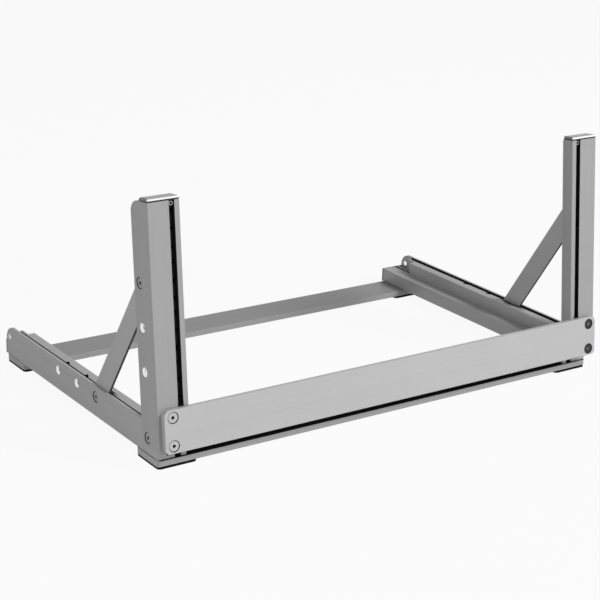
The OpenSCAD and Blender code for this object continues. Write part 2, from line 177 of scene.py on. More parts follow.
class Sizes(bpy.types.PropertyGroup):
    """Sizes of the cut details that the finishes and threads follow."""

    unit: FloatProperty(
        name="Rack Unit",
        description="Height of one rack unit",
        default=44.45 * MM,
        unit="LENGTH",
        precision=5,
    )
    units: IntProperty(
        name="Units",
        description="Rack units in the bay",
        default=4,
        min=1,
        max=8,
    )
    outer_step: FloatProperty(
        name="Outer Step",
        description="Outer rack hole to the middle hole of its unit",
        default=15.875 * MM,
        unit="LENGTH",
        precision=6,
    )
    thread_r: FloatProperty(
        name="Thread Root",
        description="Radius of the thread's root",
        default=LOW_HOLE["dims"]["r_mm"] * MM,
        unit="LENGTH",
        precision=5,
    )
    thread_depth: FloatProperty(
        name="Thread Depth",
        description="Height of the thread from root to crest",
        default=0.45 * MM,
        unit="LENGTH",
        precision=5,
    )
    thread_pitch: FloatProperty(
        name="Thread Pitch",
        description="Distance from one turn to the next",
        default=0.8 * MM,
        unit="LENGTH",
        precision=5,
    )
    key_af: FloatProperty(
        name="Key Size",
        description="Width of the screw sockets across their flats",
        default=3 * MM,
        unit="LENGTH",
        precision=5,
    )
    head_r: FloatProperty(
        name="Head Radius",
        description="Radius of the countersunk screw heads",
        default=4.7 * MM,
        unit="LENGTH",
        precision=5,
    )
    set_screw_r: FloatProperty(
        name="Set Screw Radius",
        description="Radius of the set screws of the nut strips",
        default=1.75 * MM,
        unit="LENGTH",
        precision=5,
    )
    bar_screw_step: FloatProperty(
        name="Crossbar Screw Step",
        description="Distance between the two screws at one end of a crossbar",
        default=18 * MM,
        unit="LENGTH",
        precision=5,
    )
    upright_step: FloatProperty(
        name="Upright Step",
        description="Distance between the brace holes of an upright",
        default=40 * MM,
        unit="LENGTH",
        precision=5,
    )
    leg_step: FloatProperty(
        name="Leg Step",
        description="Distance between the brace holes of a leg",
        default=39 * MM,
        unit="LENGTH",
        precision=5,
    )
    rear_hole: FloatProperty(
        name="Rear Hole",
        description="Rear end of a leg to its last hole",
        default=7.2 * MM,
        unit="LENGTH",
        precision=5,
    )
    bore_r: FloatProperty(
        name="Bore Radius",
        description="Radius of the bright edge of the open holes",
        default=4.6 * MM,
        unit="LENGTH",
        precision=5,
    )
    seat_r: FloatProperty(
        name="Seat Radius",
        description="Radius of the countersunk seats at the surface",
        default=5.6 * MM,
        unit="LENGTH",
        precision=5,
    )
    slot_w: FloatProperty(
        name="Slot Width",
        description="Width of the slots in the uprights",
        default=5.4 * MM,
        unit="LENGTH",
        precision=5,
    )
    # Reach of the painted shade inside slots and gaps.
    slot_depth: FloatProperty(
        name="Slot Depth",
        description="Depth of the slots and gaps that are dark inside",
        default=4.5 * MM,
        unit="LENGTH",
        precision=5,
    )
    wall_t: FloatProperty(
        name="Wall",
        description="Thickness of the outer walls of the uprights and legs",
        default=3.2 * MM,
        unit="LENGTH",
        precision=5,
    )
    groove_w: FloatProperty(
        name="Groove Width",
        description="Width of the groove in a leg that takes the brace",
        default=3.2 * MM,
        unit="LENGTH",
        precision=5,
    )
    # Reach of the painted shade between the walls of slots and grooves.
    groove_depth: FloatProperty(
        name="Groove Depth",
        description="Depth of the slots and grooves that are dark between their walls",
        default=12 * MM,
        unit="LENGTH",
        precision=5,
    )
    notch_w: FloatProperty(
        name="Notch Width",
        description="Width of the notches beside the groove",
        default=3.6 * MM,
        unit="LENGTH",
        precision=5,
    )
    web_cut: FloatProperty(
        name="Web Cut",
        description="Rear end of a leg to the end of its groove",
        default=19 * MM,
        unit="LENGTH",
        precision=5,
    )
    rib_cut: FloatProperty(
        name="Rib Cut",
        description="Rear end of a leg to the end of its hollow rib",
        default=32 * MM,
        unit="LENGTH",
        precision=5,
    )
    shelter_depth: FloatProperty(
        name="Shelter",
        description="Depth of the front panel's shade on the crossbar under it",
        default=11 * MM,
        unit="LENGTH",
        precision=5,
    )
    shelter_fade: FloatProperty(
        name="Shelter Fade",
        description="Last stretch of that shade, in which it fades out",
        default=4 * MM,
        min=0.1 * MM,
        unit="LENGTH",
        precision=5,
    )
    # Height of the painted highlight along a cap's front edge; below it, down to the plate's underside, is
    # a painted shadow line.
    lip_h: FloatProperty(
        name="Lip Height",
        description="Height of the bright edge of the end caps",
        default=2 * MM,
        unit="LENGTH",
        precision=5,
    )
    cap_t: FloatProperty(
        name="Cap Thickness",
        description="Thickness of the plate of the end caps",
        default=3.4 * MM,
        unit="LENGTH",
        precision=5,
    )


class Finishes(bpy.types.PropertyGroup):
    """Colours, tones and gloss of the stand's materials."""

    aluminium: FloatVectorProperty(
        name="Aluminium",
        description="Anodised metal of the bars and extrusions",
        default=(0.56, 0.56, 0.565),
        subtype="COLOR",
        min=0,
        max=1,
    )
    upright_tone: FloatProperty(
        name="Upright Tone",
        description="Lightness of the uprights against the aluminium colour",
        default=0.7,
        subtype="FACTOR",
        min=0,
        max=1,
    )
    leg_tone: FloatProperty(
        name="Leg Tone",
        description="Lightness of the legs against the aluminium colour",
        default=0.8,
        subtype="FACTOR",
        min=0,
        max=1,
    )
    brace_tone: FloatProperty(
        name="Brace Tone",
        description="Lightness of the braces against the aluminium colour",
        default=0.82,
        subtype="FACTOR",
        min=0,
        max=1,
    )
    brace_shade: FloatProperty(
        name="Brace Shade",
        description="Darkness of the underside of the braces",
        default=0.85,
        subtype="FACTOR",
        min=0,
        max=1,
    )
    panel_tone: FloatProperty(
        name="Panel Tone",
        description="Lightness of the front panel against the aluminium colour",
        default=0.97,
        subtype="FACTOR",
        min=0,
        max=1,
    )
    crossbar_tone: FloatProperty(
        name="Crossbar Tone",
        description="Lightness of the crossbars against the aluminium colour",
        default=0.68,
        subtype="FACTOR",
        min=0,
        max=1,
    )
    satin: FloatProperty(
        name="Satin",
        description="Roughness of the anodised metal",
        default=0.42,
        subtype="FACTOR",
        min=0.05,
        max=1,
    )
    sheen: FloatProperty(
        name="Sheen",
        description="Strength of the reflections of the anodised film",
        default=0.15,
        subtype="FACTOR",
        min=0,
        max=1,
    )
    cut_metal: FloatVectorProperty(
        name="Cut Metal",
        description="Bare metal of drilled holes and set screws",
        default=(0.95, 0.95, 0.95),
        subtype="COLOR",
        min=0,
        max=1,
    )
    # Painted shade: the near black painted into slots, gaps, key sockets, the seats round screw heads and
    # along the lower edge of the caps' plates.
    gap: FloatVectorProperty(
        name="Gap",
        description="Dark of slots, of sockets and of the gaps round screw heads",
        default=(0.012, 0.012, 0.012),
        subtype="COLOR",
        min=0,
        max=1,
    )
    plating: FloatVectorProperty(
        name="Plating",
        description="Bright plating of the panel screws on the left",
        default=(0.56, 0.56, 0.56),
        subtype="COLOR",
        min=0,
        max=1,
    )
    dull_plating: FloatVectorProperty(
        name="Dull Plating",
        description="Duller plating of the other screws, the nuts and the rings",
        default=(0.24, 0.24, 0.24),
        subtype="COLOR",
        min=0,
        max=1,
    )
    # Darker colour that the code gives the panel screws on the right.
    right_screw_dark: FloatVectorProperty(
        name="Dark Plating",
        description="Dark plating of the panel screws on the right",
        default=(0.036, 0.036, 0.036),
        subtype="COLOR",
        min=0,
        max=1,
    )
    # Painted reflection inside the sockets of the darker panel screws.
    socket_glint: FloatVectorProperty(
        name="Pale Socket",
        description="Inside of the sockets of the dark screws",
        default=(0.448, 0.448, 0.448),
        subtype="COLOR",
        min=0,
        max=1,
    )
    black_steel: FloatVectorProperty(
        name="Black Steel",
        description="Blackened steel of the strips and nuts in the slots",
        default=(0.004, 0.004, 0.004),
        subtype="COLOR",
        min=0,
        max=1,
    )
    moulding: FloatVectorProperty(
        name="Moulding",
        description="Grey plastic of the end caps",
        default=(0.17, 0.17, 0.173),
        subtype="COLOR",
        min=0,
        max=1,
    )
    leg_cap_tone: FloatProperty(
        name="Leg Cap Tone",
        description="Lightness of the leg caps against the top caps",
        default=0.5,
        subtype="FACTOR",
        min=0,
        max=1,
    )
    # Painted highlight on the front edge of the end caps.
    lip_highlight: FloatVectorProperty(
        name="Cap Lip",
        description="Bright front lip of the end caps",
        default=(0.96, 0.96, 0.96),
        subtype="COLOR",
        min=0,
        max=1,
    )
    rubber: FloatVectorProperty(
        name="Rubber",
        description="Black rubber of the feet",
        default=(0.004, 0.004, 0.004),
        subtype="COLOR",
        min=0,
        max=1,
    )


class Stage(bpy.types.PropertyGroup):
    """Floor, light and camera."""

    floor: FloatVectorProperty(
        name="Floor",
        description="Colour of the floor",
        default=(0.7, 0.7, 0.7),
        subtype="COLOR",
        min=0,
        max=1,
    )
    white: FloatProperty(
        name="White",
        description="Share of plain white in the floor that is seen; the rest shows shadows",
        default=0.93,
        subtype="FACTOR",
        min=0,
        max=1,
    )
    ambient: FloatProperty(
        name="Ambient",
        description="Even light from all round",
        default=0.25,
        min=0,
        max=2,
    )
    front_power: FloatProperty(
        name="Front Light",
        description="Power of the soft light in front",
        default=63,
        min=0,
        unit="POWER",
    )
    front_place: FloatVectorProperty(
        name="Front Light Place",
        description="Place of the soft light in front",
        default=(1.26, -2.18, 1.73),
        subtype="TRANSLATION",
        unit="LENGTH",
    )
    front_width: FloatProperty(
        name="Front Light Width",
        description="Width of the soft light in front",
        default=1.0,
        min=0.01,
        unit="LENGTH",
    )
    side_power: FloatProperty(
        name="Side Light",
        description="Power of the soft light on the left",
        default=1.3,
        min=0,
        unit="POWER",
    )
    side_place: FloatVectorProperty(
        name="Side Light Place",
        description="Place of the soft light on the left",
        default=(-0.95, -0.55, 0.25),
        subtype="TRANSLATION",
        unit="LENGTH",
    )
    side_width: FloatProperty(
        name="Side Light Width",
        description="Width of the soft light on the left",
        default=0.44,
        min=0.01,
        unit="LENGTH",
    )
    eye: FloatVectorProperty(
        name="Camera",
        description="Place of the camera",
        default=(-0.92929, -1.33619, 0.62856),
        subtype="TRANSLATION",
        unit="LENGTH",
        precision=5,
    )
    turn: FloatProperty(
        name="Turn",
        description="Camera turned to the right",
        default=math.radians(34.7085),
        subtype="ANGLE",
    )
    tip: FloatProperty(
        name="Tip",
        description="Camera tipped down",
        default=math.radians(18.9374),
        subtype="ANGLE",
    )
    roll: FloatProperty(
        name="Roll",
        description="Camera rolled to the left",
        default=math.radians(1.7888),
        subtype="ANGLE",
    )
    lens: FloatProperty(
        name="Lens",
        description="Focal length on a 36 mm sensor, in millimetres",
        default=102.0,
        min=10,
        max=300,
        unit="CAMERA",
    )


class Wire:
    """A shader socket that takes part in Python arithmetic; | is the larger value and & the smaller."""

    def __init__(self, finish, socket):
        self.finish = finish
        self.socket = socket

    def __add__(self, other):
        return self.finish.math("ADD", self, other)

    def __sub__(self, other):
        return self.finish.math("SUBTRACT", self, other)

    def __rsub__(self, other):
        return self.finish.math("SUBTRACT", other, self)

    def __mul__(self, other):
        return self.finish.math("MULTIPLY", self, other)

    def __truediv__(self, other):
        return self.finish.math("DIVIDE", self, other)

    def __rtruediv__(self, other):
        return self.finish.math("DIVIDE", other, self)

    def __pow__(self, other):
        return self.finish.math("POWER", self, other)

    def __rpow__(self, other):
        return self.finish.math("POWER", other, self)

    def __lt__(self, other):
        return self.finish.math("LESS_THAN", self, other)

    def __gt__(self, other):
        return self.finish.math("GREATER_THAN", self, other)

    def __or__(self, other):
        return self.finish.math("MAXIMUM", self, other)

    def __and__(self, other):
        return self.finish.math("MINIMUM", self, other)

    def __neg__(self):
        return self.finish.math("MULTIPLY", self, -1.0)

    def __abs__(self):
        return self.finish.math("ABSOLUTE", self)

    __radd__ = __add__
    __rmul__ = __mul__
    __ror__ = __or__
    __rand__ = __and__

    def limited(self):
        """The value kept from zero to one."""
        return self & 1.0 | 0.0

    def swing(self, width):
        """A noise as a swing about zero, with this full width."""
        return (self - 0.5) * width


class Finish:
    """The nodes of a new material or world in the making."""

    def __init__(self, owner):
        owner.use_nodes = True
        self.owner = owner
        self.tree = owner.node_tree
        self.tree.nodes.clear()
        self.spot = None

    def add(self, kind, settings=None, inputs=None):
        """Adds a node: its settings first, then the values or links of its sockets."""
        node = self.tree.nodes.new(kind)
        for key, value in (settings or {}).items():
            setattr(node, key, value)
        for key, value in (inputs or {}).items():
            if isinstance(value, Wire):
                self.tree.links.new(value.socket, node.inputs[key])
            else:
                node.inputs[key].default_value = value
        return node

    def out(self, node, name=0):
        """One output of a node, the first where no name is given."""
        return Wire(self, node.outputs[name])

    def math(self, operation, *values):
        """A Math node on values and wires."""
        return self.out(self.add("ShaderNodeMath", {"operation": operation}, dict(enumerate(values))))

    def ripples(self, value, pitch):
        """A wave from minus one to one that repeats at a pitch."""
        return self.math("SINE", value * (2 * math.pi / pitch))

    def place(self):
        """Point on the piece, in the frame's metres."""
        if self.spot is None:
            self.spot = self.out(self.add("ShaderNodeTexCoord"), "Object")
        return self.spot

    def face(self):
        """Direction that the surface faces."""
        return self.out(self.add("ShaderNodeNewGeometry"), "Normal")

    def dot(self, vector, other):
        """Dot product of a vector's wire with another wire or an axis."""
        inputs = {0: vector, 1: other if isinstance(other, Wire) else tuple(other)}
        return self.out(self.add("ShaderNodeVectorMath", {"operation": "DOT_PRODUCT"}, inputs), "Value")

    def along(self, axis, start=Vector()):
        """Distance of the point along an axis, from a start."""
        return self.dot(self.place(), axis) - start.dot(axis)

    def towards(self, axis):
        """How far the surface faces towards an axis."""
        return self.dot(self.face(), axis)

    def facing(self, axis):
        """How far the surface faces along an axis, either way."""
        return abs(self.towards(axis))

    def hollow_shade(self, depth, start=0.5, strength=3.0):
        """Share of painted shade in slots and gaps: one where they are closed in, down to nothing where
        the share of open sky is over the start.
        """
        node = self.add("ShaderNodeAmbientOcclusion", {"samples": SHADE_SAMPLES}, {"Distance": depth})
        return ((start - self.out(node, "AO")) * strength).limited()

    def shade_between_walls(self, depth):
        """Stronger painted shade, for slots and grooves that are painted dark from their edges on."""
        return self.hollow_shade(depth, start=0.92, strength=5.0)

    def edges(self, radius, strength=4.0):
        """One along sharp edges, within a radius of them, and nothing on flat faces."""
        rounded = self.out(self.add("ShaderNodeBevel", {"samples": EDGE_SAMPLES}, {"Radius": radius}))
        return (1 - self.dot(rounded, self.face())) * strength & 1.0

    def vector(self, x, y, z):
        """A vector of three values."""
        return self.out(self.add("ShaderNodeCombineXYZ", None, {0: x, 1: y, 2: z}))

    def noise(self, vector, scale, detail=2.0, rough=0.5):
        """Cloudy noise about a half."""
        inputs = {"Vector": vector, "Scale": scale, "Detail": detail, "Roughness": rough}
        return self.out(self.add("ShaderNodeTexNoise", {"noise_dimensions": "3D"}, inputs), "Fac")

    def blend(self, factor, first, second):
        """Colour between two colours or colour wires."""
        first, second = (c if isinstance(c, Wire) else rgba(c) for c in (first, second))
        inputs = {0: factor, MIX_FIRST: first, MIX_SECOND: second}
        return self.out(self.add("ShaderNodeMix", {"data_type": "RGBA"}, inputs), MIX_RESULT)

    def tint(self, factor, colour, low, high):
        """A colour between two lightnesses of it."""
        return self.blend(factor, shade(colour, low), shade(colour, high))

    def bump(self, height, strength, distance):
        """Direction of the surface with a fine relief on it."""
        inputs = {"Height": height, "Strength": strength, "Distance": distance}
        return self.out(self.add("ShaderNodeBump", None, inputs))

    def surface(self, **sockets):
        """Closes the material with its shader; names use a low line for a space."""
        inputs = {name.replace("_", " "): value for name, value in sockets.items()}
        shader = self.out(self.add("ShaderNodeBsdfPrincipled", None, inputs))
        self.add("ShaderNodeOutputMaterial", None, {"Surface": shader})
        return self.owner


class Seats(NamedTuple):
    """Countersunk holes of a piece.

    Plane holds the two axes of the face that they are cut in. Bare ones show their cut metal, and filled
    ones have a screw in them; both are points on the holes' axes. They are cut in the walls that lie
    further than walls_from to the left and right of the middle.
    """

    plane: tuple
    bare: list
    filled: list
    walls_from: float


def shade(colour, amount):
    """A colour made lighter or darker."""
    return tuple(min(1.0, c * amount) for c in colour)


def rgba(colour):
    """A colour with full cover."""
    return (*colour, 1.0)


def dress(nodes, material):
    """Gives the nodes one material."""
    for name in nodes:
        piece = NODES[name]
        piece.data.materials.clear()
        piece.data.materials.append(material)


def square_to(plane):
    """Axis square to a plane."""
    return plane[0].cross(plane[1])


def reach_of(finish, points, plane):
    """Distance of the surface from the nearest of some axes, which pass the points square to the plane."""
    across = [finish.along(axis) for axis in plane]
    reach = None
    for point in points:
        x, y = (line - point.dot(axis) for line, axis in zip(across, plane))
        away = (x * x + y * y) ** 0.5
        reach = away if reach is None else reach & away
    return reach


def anodised(name, along, sideways, tone, seats=None, dark=None, sheen=None):
    """Fine brushed and anodised metal, with its grain along one axis.

    Dark is a function of the finish that gives the share of the surface that gets painted shade; without
    it, painted shade goes into slots and gaps. Sheen is the strength of the film's reflections, where it
    isn't the usual one.
    """
    looks, sizes = bpy.context.scene.stand_finishes, bpy.context.scene.stand_sizes
    finish = Finish(bpy.data.materials.new(name))
    u, v, w = (finish.along(axis, PIVOT) for axis in (along, sideways, along.cross(sideways)))
    brushed, drawn = (
        finish.noise(finish.vector(u * lengthwise, v * crosswise, w * crosswise), 1.0, detail, rough)
        for (lengthwise, crosswise), detail, rough in ((BRUSHED_CELLS, 3.0, 0.6), (DRAWN_CELLS, 2.0, 0.5))
    )
    cloud = finish.noise(finish.place(), CLOUD_CELLS, 3.0)
    cut_end = finish.facing(along) > END_FACE
    sawn = finish.ripples(v + w * SAW_SLANT, SAW_PITCH)
    # Edges lighter from wear and from a painted highlight along them.
    wear_and_highlight = finish.edges(WEAR_AND_HIGHLIGHT_EDGE)
    # Painted shade: near black in slots, gaps and other hollows, with duller reflections there.
    shade_share = dark(finish) if dark else finish.hollow_shade(sizes.slot_depth)
    streaks = 0.5 + wear_and_highlight * 0.15 + brushed.swing(0.6) + drawn.swing(0.5) + cloud.swing(0.5)
    colour = finish.tint(streaks, looks.aluminium, 0.9 * tone, 1.1 * tone)
    colour = finish.blend(cut_end * 0.8, colour, looks.aluminium)
    colour = finish.blend(shade_share, colour, looks.gap)
    rough = looks.satin + brushed.swing(0.16) + cloud.swing(0.08)
    rough = rough + cut_end * 0.08 - wear_and_highlight * 0.1 + shade_share * 0.4
    height = brushed * 0.7 + drawn * 0.3 + cut_end * sawn * 0.4
    metal_share = (1 - shade_share) * 0.2
    # Bare seats show bright cut metal; filled seats get painted shade in the ring round the screw heads.
    if seats:
        cut_wall = abs(finish.along(ACROSS)) > seats.walls_from
        cone = finish.facing(square_to(seats.plane)) < SEAT_FACE
        for points, radius, metal, gloss, share in (
            (seats.bare, sizes.bore_r, looks.cut_metal, 0.14, 0.45),
            (seats.filled, sizes.seat_r, looks.gap, -0.2, -0.2),
        ):
            if points:
                reach = reach_of(finish, points, seats.plane)
                seat = cut_wall * (reach < radius) * cone
                turned = finish.ripples(reach, SEAT_PITCH)
                colour = finish.blend(seat, colour, metal)
                rough = rough - seat * (gloss + turned * 0.03)
                metal_share = metal_share + seat * share
                height = height + seat * turned * 0.3
    return finish.surface(
        Base_Color=colour,
        Metallic=metal_share,
        Roughness=rough,
        Normal=finish.bump(height, 0.12, METAL_RELIEF),
        Specular_IOR_Level=looks.sheen if sheen is None else sheen,
    )


def plated(name, plane, screws, plating, dark_from=None):
    """Plated steel with turned rings about each screw and painted shade in the key sockets; to the right
    of dark_from it is darker, with a painted reflection in the sockets.
    """
    looks, sizes = bpy.context.scene.stand_finishes, bpy.context.scene.stand_sizes
    finish = Finish(bpy.data.materials.new(name))
    reach = reach_of(finish, screws, plane)
    facing = finish.facing(square_to(plane))
    turned = (facing > HEAD_FACE) * finish.ripples(reach, HEAD_PITCH)
    floor = reach < sizes.key_af / 2 * SOCKET_FLOOR
    walls = (reach < sizes.key_af / 2 * SOCKET_WALL) * (facing < SOCKET_WALL_FACE)
    socket = floor | walls
    stain = finish.noise(finish.place(), STAIN_CELLS, 3.0)
    colour = finish.tint(stain, plating, 0.8, 1.15)
    # Painted shade inside the key sockets.
    inside = looks.gap
    # Panel screws on the right: a darker colour, and a painted reflection inside their sockets in place of
    # the painted shade.
    if dark_from is not None:
        dark = finish.along(ACROSS) > dark_from
        colour = finish.blend(dark, colour, looks.right_screw_dark)
        inside = finish.blend(dark, looks.gap, looks.socket_glint)
    return finish.surface(
        Base_Color=finish.blend(socket, colour, inside),
        Metallic=0.7 * (1 - socket),
        Roughness=0.27 + stain.swing(0.14) + turned * 0.03 + socket * 0.4,
        Normal=finish.bump(stain * 0.4 + turned * 0.25, 0.15, PLATING_RELIEF),
    )


def blackened(name):
    """Oiled black steel."""
    looks = bpy.context.scene.stand_finishes
    finish = Finish(bpy.data.materials.new(name))
    mottle = finish.noise(finish.place(), MOTTLE_CELLS, 4.0, 0.6)
    return finish.surface(
        Base_Color=finish.tint(mottle, looks.black_steel, 0.6, 1.5),
        Roughness=0.46 + mottle.swing(0.2),
        Normal=finish.bump(mottle, 0.15, METAL_RELIEF),
        Specular_IOR_Level=0.12,
    )


def moulded(name, caps, axis, tone):
    """Grey moulded plastic with a fine eroded grain, a painted highlight on the front edge, a painted
    shadow line below it and painted shade in gaps; the caps' plates lie square to the axis.
    """
    looks, sizes = bpy.context.scene.stand_finishes, bpy.context.scene.stand_sizes
    finish = Finish(bpy.data.materials.new(name))
    grain = finish.noise(finish.place(), ERODED_CELLS)
    flow = finish.noise(finish.place(), FLOW_CELLS, 3.0)
    top = span_along(caps, axis)[1]
    height = finish.along(axis)
    # Painted shadow line along the lower edge of the caps' plates.
    painted_shadow_line = (height < top - sizes.lip_h) * (height > top - sizes.cap_t)
    shade_share = finish.hollow_shade(CAP_GAP) | painted_shadow_line
    # Painted highlight on the faces of the caps that face the front.
    lip_highlight = ((finish.towards(OUT_FRONT) - LIP_FACE) * LIP_RISE).limited() * (1 - shade_share)
    colour = finish.tint(flow, looks.moulding, 0.92 * tone, 1.08 * tone)
    colour = finish.blend(lip_highlight, colour, looks.lip_highlight)
    return finish.surface(
        Base_Color=finish.blend(shade_share, colour, looks.gap),
        Metallic=lip_highlight * 0.3,
        Roughness=0.3 + grain.swing(0.12) + flow.swing(0.06),
        Normal=finish.bump(grain, 0.12, MOULD_RELIEF),
        IOR=1.5,
        Coat_Weight=0.2,
        Coat_Roughness=0.2,
    )


def rubbery(name):
    """Matt black rubber, dusty in its pores."""
    looks = bpy.context.scene.stand_finishes
    finish = Finish(bpy.data.materials.new(name))
    pores = finish.noise(finish.place(), PORE_CELLS, 3.0, 0.6)
    dust = finish.noise(finish.place(), DUST_CELLS, 4.0)
    return finish.surface(
        Base_Color=finish.tint(dust * pores, looks.rubber, 0.7, 2.2),
        Roughness=0.72 + dust.swing(0.2),
        Normal=finish.bump(pores, 0.3, RUBBER_RELIEF),
        Specular_IOR_Level=0.04,
    )


class STAND_OT_uprights(bpy.types.Operator):
    """Finish the leaning uprights"""

    bl_idname = "stand.uprights"
    bl_label = "Uprights"

    def execute(self, context):
        looks, sizes = context.scene.stand_finishes, context.scene.stand_sizes
        top = middle_of("upper_brace_screws")
        spare = [top - UP_ALONG * sizes.upright_step * step for step in (1, 2)]
        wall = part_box("right_upright")[1].x - sizes.wall_t
        seats = Seats(SIDE_PLANE, spare, [PIVOT, top], wall)
        column = abs(LOW_HOLE["pos_m"][0])

        def dark(finish):
            """Painted shade in gaps, and in the slots from their edges on."""
            slot = abs(abs(finish.along(ACROSS)) - column) < sizes.slot_w / 2 + SLOT_MARGIN
            return finish.hollow_shade(sizes.slot_depth) | finish.shade_between_walls(sizes.groove_depth) * slot

        metal = anodised("upright_metal", UP_ALONG, ACROSS, looks.upright_tone, seats, dark)
        dress([f"{side}_upright" for side in SIDES], metal)
        return {"FINISHED"}


class STAND_OT_legs(bpy.types.Operator):
    """Finish the legs on the floor"""

    bl_idname = "stand.legs"
    bl_label = "Legs"

    def execute(self, context):
        looks, sizes = context.scene.stand_finishes, context.scene.stand_sizes
        low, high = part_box("right_leg")
        used = middle_of("lower_brace_screws")
        spare = [used + BACK * sizes.leg_step * step for step in (1, 2)]
        rear = Vector((0, high.y - sizes.rear_hole, used.z))
        seats = Seats(SIDE_PLANE, [*spare, rear], [used], high.x - sizes.wall_t)
        groove_end = sizes.wall_t + sizes.groove_w

        def dark(finish):
            """Painted shade in gaps inside the outer wall, and in the groove and its notches from their
            edges on.
            """
            inwards = high.x - abs(finish.along(ACROSS))
            forwards = -finish.along(BACK, high)
            groove = (inwards < groove_end + GROOVE_MARGIN) * (forwards > sizes.web_cut)
            notches = (inwards < groove_end + sizes.notch_w) * (forwards > sizes.rib_cut)
            inside = (inwards > sizes.wall_t - GROOVE_MARGIN) * (forwards < high.y - low.y - LEG_FRONT)
            # Painted shade in the groove and its notches.
            cut = finish.shade_between_walls(sizes.groove_depth) * (groove | notches)
            return (finish.hollow_shade(sizes.slot_depth) | cut) * inside

        metal = anodised("leg_metal", BACK, ACROSS, looks.leg_tone, seats, dark)
        dress([f"{side}_leg" for side in SIDES], metal)
        return {"FINISHED"}


class STAND_OT_braces(bpy.types.Operator):
    """Finish the slanting braces"""

    bl_idname = "stand.braces"
    bl_label = "Braces"

    def execute(self, context):
        looks, sizes = context.scene.stand_finishes, context.scene.stand_sizes
        slant = (middle_of("upper_brace_screws") - middle_of("lower_brace_screws")).normalized()

        def dark(finish):
            """Painted shade in gaps and on the lower edge."""
            under = finish.towards(ACROSS.cross(slant)) > UNDER_FACE
            return finish.hollow_shade(sizes.slot_depth) | under * looks.brace_shade

        metal = anodised("brace_metal", slant, ACROSS, looks.brace_tone, dark=dark)
        dress([f"{side}_brace" for side in SIDES], metal)
        return {"FINISHED"}


def panel_screw_places(sizes):
    """Points on the axes of the panel screws."""
    sides, ups = (outer_screws("panel_screws", axis, sizes.head_r) for axis in FRONT_PLANE)
    return [ACROSS * side + UP_ALONG * up for side in sides for up in ups]


class STAND_OT_panel(bpy.types.Operator):
    """Finish the front panel"""

    bl_idname = "stand.panel"
    bl_label = "Front Panel"

    def execute(self, context):
        looks, sizes = context.scene.stand_finishes, context.scene.stand_sizes
        seats = Seats(FRONT_PLANE, [], panel_screw_places(sizes), 0.0)
        dress(["front_panel"], anodised("panel_metal", ACROSS, UP_ALONG, looks.panel_tone, seats))
        return {"FINISHED"}


class STAND_OT_crossbars(bpy.types.Operator):
    """Finish the crossbars under the legs"""

    bl_idname = "stand.crossbars"
    bl_label = "Crossbars"

    def execute(self, context):
        looks, sizes = context.scene.stand_finishes, context.scene.stand_sizes
        low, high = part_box("front_crossbar")

        def dark(finish):
            """Painted shade on the top of the front crossbar under the panel."""
            under = ((sizes.shelter_depth - finish.along(BACK, low)) / sizes.shelter_fade).limited()
            inside = abs(finish.along(ACROSS)) < high.x - BAR_END
            return (finish.towards(UP) > TOP_FACE) * under * inside

        metal = anodised("crossbar_metal", ACROSS, BACK, looks.crossbar_tone, dark=dark, sheen=0.0)
        dress(["front_crossbar", "rear_crossbar"], metal)
        return {"FINISHED"}


class STAND_OT_caps(bpy.types.Operator):
    """Finish the end caps"""

    bl_idname = "stand.caps"
    bl_label = "End Caps"

    def execute(self, context):
        looks = context.scene.stand_finishes
        for kind, axis, tone in (("top", UP_ALONG, 1.0), ("leg", BACK, looks.leg_cap_tone)):
            caps = [f"{side}_{kind}_cap" for side in SIDES]
            dress(caps, moulded(f"{kind}_cap_moulding", caps, axis, tone))
        return {"FINISHED"}


class STAND_OT_feet(bpy.types.Operator):
    """Finish the rubber feet"""

    bl_idname = "stand.feet"
    bl_label = "Feet"

    def execute(self, context):
        feet = [f"{end}_{side}_foot" for end in ("front", "rear") for side in SIDES]
        dress(feet, rubbery("foot_rubber"))
        return {"FINISHED"}


class STAND_OT_screws(bpy.types.Operator):
    """Finish the bright screws, nuts and rings"""

    bl_idname = "stand.screws"
    bl_label = "Screws and Rings"

    def execute(self, context):
        looks, sizes = context.scene.stand_finishes, context.scene.stand_sizes

        side_screws = ("pivot_screws", "upper_brace_screws", "lower_brace_screws")
        places = [middle_of(name) for name in side_screws]
        metal = plated("side_screw_plating", SIDE_PLANE, places, looks.dull_plating)
        dress([*side_screws, "upper_brace_nuts", "brace_spacers", "pivot_spacers"], metal)

        places = panel_screw_places(sizes)
        metal = plated("front_screw_plating", FRONT_PLANE, places, looks.plating, dark_from=0.0)
        dress(["panel_screws"], metal)

        middle = middle_of("nut_strip_set_screws")
        sides = outer_screws("nut_strip_set_screws", ACROSS, sizes.set_screw_r)
        places = [Vector((x, middle.y, middle.z)) for x in sides]
        metal = plated("set_screw_plating", FRONT_PLANE, places, looks.cut_metal)
        dress(["nut_strip_set_screws"], metal)

        sides = outer_screws("crossbar_screws", ACROSS, sizes.head_r)
        first, last = outer_screws("crossbar_screws", BACK, sizes.head_r)
        rows = (first, first + sizes.bar_screw_step, last - sizes.bar_screw_step, last)
        places = [Vector((x, y, 0)) for x in sides for y in rows]
        metal = plated("under_screw_plating", FLOOR_PLANE, places, looks.dull_plating)
        dress(["crossbar_screws"], metal)
        return {"FINISHED"}


class STAND_OT_strips(bpy.types.Operator):
    """Finish the threaded strips and nuts in the slots"""

    bl_idname = "stand.strips"
    bl_label = "Nut Strips"

    def execute(self, context):
        dress(["left_nut_strip", "right_nut_strip", "crossbar_nuts"], blackened("strip_black"))
        return {"FINISHED"}


